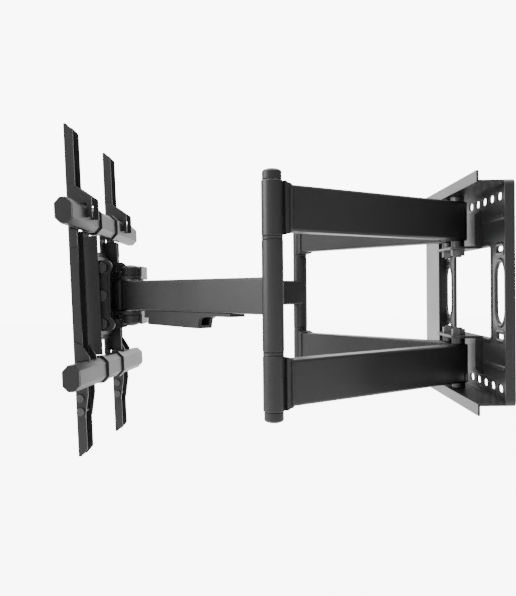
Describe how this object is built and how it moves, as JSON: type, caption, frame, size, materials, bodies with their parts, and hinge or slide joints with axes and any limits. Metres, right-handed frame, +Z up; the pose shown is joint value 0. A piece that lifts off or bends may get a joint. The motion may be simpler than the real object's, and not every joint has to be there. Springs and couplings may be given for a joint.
{
  "type": "full motion tv wall mount",
  "caption": "Wall mount for a flat screen: wall plate, folding double-beam arms and forearms, and a head that swivels, tilts and levels, with rails and sliding brackets.",
  "frame": {"origin": "centre of the wall plate's back face, on the wall, in the middle of the four outer slots", "axes": "+X along the wall, +Y into the wall, +Z up; the screen side faces -Y"},
  "size_m": [0.5349, 0.5361, 0.4291],
  "materials": {
    "powder_black": "semi-gloss black powder coat with a fine grain",
    "black_plastic": "satin black moulded plastic",
    "bush_nylon": "dark self-lubricating plastic",
    "zinc_steel": "zinc plated steel",
    "dark_bolt": "black zinc plated steel"
  },
  "bodies": {
    "wall": {"wall_plate": "powder_black", "hinge_bracket_upper": "powder_black", "hinge_bracket_lower": "powder_black", "end_cover_left": "black_plastic", "wall_pins": "dark_bolt", "wall_pin_nuts": "dark_bolt", "wall_pin_spacers": "dark_bolt"},
    "arm_right": {"arm_right_upper_beam": "powder_black", "arm_right_lower_beam": "powder_black", "arm_right_bushes": "bush_nylon", "arm_right_knuckles": "powder_black", "arm_right_bosses": "powder_black", "arm_right_caps": "black_plastic"},
    "elbow_right": {"elbow_right_shaft": "zinc_steel"},
    "forearm_right": {"forearm_right_sleeve": "powder_black", "elbow_right_rings": "black_plastic", "forearm_right_beam": "powder_black", "forearm_right_knuckle": "powder_black", "forearm_right_bushes": "bush_nylon", "cable_clip": "black_plastic"},
    "arm_left": {"arm_left_upper_beam": "powder_black", "arm_left_lower_beam": "powder_black", "arm_left_bushes": "bush_nylon", "arm_left_knuckles": "powder_black", "arm_left_bosses": "powder_black", "arm_left_caps": "black_plastic"},
    "elbow_left": {"elbow_left_shaft": "zinc_steel"},
    "forearm_left": {"forearm_left_sleeve": "powder_black", "elbow_left_rings": "black_plastic", "forearm_left_beam": "powder_black", "forearm_left_knuckle": "powder_black", "forearm_left_bushes": "bush_nylon"},
    "yoke": {"yoke_upper": "powder_black", "yoke_lower": "powder_black", "yoke_spacer": "powder_black", "head_pin_right": "dark_bolt", "head_pin_left": "dark_bolt", "head_washers": "zinc_steel", "swivel_bolt": "dark_bolt"},
    "swivel": {"swivel_block": "powder_black", "tilt_pivot_bolts": "dark_bolt", "tilt_clamp_bolts": "dark_bolt"},
    "tilt": {"tilt_bracket": "powder_black", "level_stud": "zinc_steel", "level_bolts": "dark_bolt"},
    "level": {"level_plate": "powder_black", "upright_right": "powder_black", "upright_left": "powder_black", "rail_upper": "powder_black", "rail_lower": "powder_black", "rail_caps": "black_plastic", "rail_clamps": "powder_black"},
    "bracket_right": {"screen_bracket_right": "powder_black", "bracket_hooks_right": "powder_black", "lock_screws_right": "dark_bolt"},
    "bracket_left": {"screen_bracket_left": "powder_black", "bracket_hooks_left": "powder_black", "lock_screws_left": "dark_bolt"}
  },
  "joints": [
    {"name": "arm_right_fold", "type": "hinge", "parent": "wall", "child": "arm_right", "pos_m": [0.026, -0.027, 0], "axis": [0, 0, 1], "range_deg": [-36, 44]},
    {"name": "arm_left_fold", "type": "hinge", "parent": "wall", "child": "arm_left", "pos_m": [-0.026, -0.027, 0], "axis": [0, 0, 1], "range_deg": [-31.4, 48.6]},
    {"name": "elbow_right_turn", "type": "hinge", "parent": "arm_right", "child": "elbow_right", "pos_m": [0.23169, -0.27213, 0], "axis": [0, 0, 1], "range_deg": [-44.5, 36.5]},
    {"name": "forearm_right_fold", "type": "hinge", "parent": "elbow_right", "child": "forearm_right", "pos_m": [0.23169, -0.27213, 0], "axis": [0, 0, 1], "range_deg": [-31.9, 49.1]},
    {"name": "head_carry", "type": "hinge", "parent": "forearm_right", "child": "yoke", "pos_m": [-0.02252, -0.46649, 0], "axis": [0, 0, 1], "range_deg": [-49.1, 31.9]},
    {"name": "elbow_left_turn", "type": "hinge", "parent": "arm_left", "child": "elbow_left", "pos_m": [-0.28021, -0.22136, 0], "axis": [0, 0, 1], "range_deg": [-49.1, 31.9]},
    {"name": "forearm_left_fold", "type": "hinge", "parent": "elbow_left", "child": "forearm_left", "pos_m": [-0.28021, -0.22136, 0], "axis": [0, 0, 1], "range_deg": [-36.5, 44.5]},
    {"name": "screen_swivel", "type": "hinge", "parent": "yoke", "child": "swivel", "pos_m": [-0.04852, -0.48549, 0], "axis": [0, 0, 1], "range_deg": [-12.6, 17.4]},
    {"name": "screen_tilt", "type": "hinge", "parent": "swivel", "child": "tilt", "pos_m": [-0.04911, -0.49948, 0], "axis": [0.9991, -0.0419, 0], "range_deg": [-7.3, 7.7]},
    {"name": "screen_level", "type": "hinge", "parent": "tilt", "child": "level", "pos_m": [-0.04979, -0.51585, -0.00066], "axis": [0.0418, 0.9983, 0.0401], "range_deg": [-1.9, 4.1]},
    {"name": "bracket_right_slide", "type": "slide", "parent": "level", "child": "bracket_right", "axis": [0.9989, -0.0426, 0.0192], "range_m": [-0.02, 0.05]},
    {"name": "bracket_left_slide", "type": "slide", "parent": "level", "child": "bracket_left", "axis": [0.9989, -0.0426, 0.0192], "range_m": [-0.05, 0.02]}
  ],
  "couplings": [
    {"joint": "elbow_right_turn", "follows": "arm_right_fold", "ratio": -1},
    {"joint": "forearm_left_fold", "follows": "arm_right_fold", "ratio": 1},
    {"joint": "elbow_left_turn", "follows": "arm_left_fold", "ratio": -1},
    {"joint": "forearm_right_fold", "follows": "arm_left_fold", "ratio": 1},
    {"joint": "head_carry", "follows": "arm_left_fold", "ratio": -1}
  ]
}
